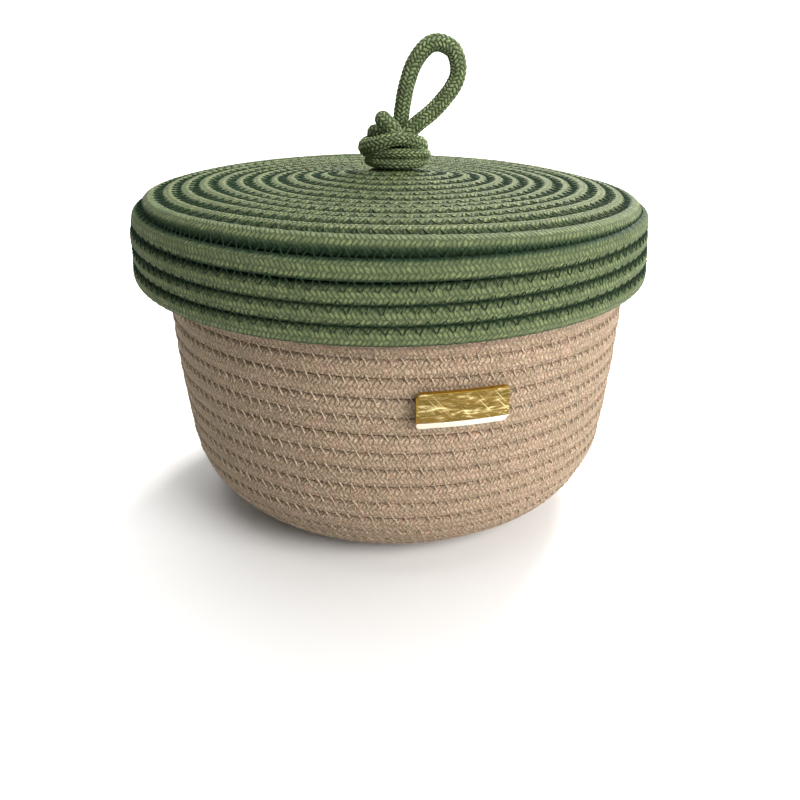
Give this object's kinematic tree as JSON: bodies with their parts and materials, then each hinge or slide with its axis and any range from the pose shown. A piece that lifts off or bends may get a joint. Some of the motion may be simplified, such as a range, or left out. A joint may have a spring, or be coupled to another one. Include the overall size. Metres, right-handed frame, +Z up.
{
  "type": "lidded coiled-cord basket",
  "caption": "Lidded knitting basket wound from braided cotton cord, beige bowl and olive-green lid with a knotted cord loop as its handle, and a blank brass tag on the wall.",
  "frame": {"origin": "centre of the basket's base, on the plane it stands on", "axes": "+Z up along the axis of the coils, -Y towards the viewer's front, with the metal tag a little to the right of the front, and +X to the right"},
  "size_m": [0.1878, 0.1878, 0.1697],
  "materials": {
    "pink_beige_cotton": "matte",
    "olive_green_cotton": "matte",
    "brass": "polished"
  },
  "bodies": {
    "basket": {"basket_base_coil": "pink_beige_cotton", "basket_wall_coil": "pink_beige_cotton", "metal_tag": "brass"},
    "lid": {"lid_top_coil": "olive_green_cotton", "lid_skirt_coil": "olive_green_cotton", "handle_cord": "olive_green_cotton"}
  },
  "joints": [
    {"name": "lid_lift", "type": "slide", "parent": "basket", "child": "lid", "axis": [0, 0, 1], "range_m": [0, 0.05]}
  ]
}
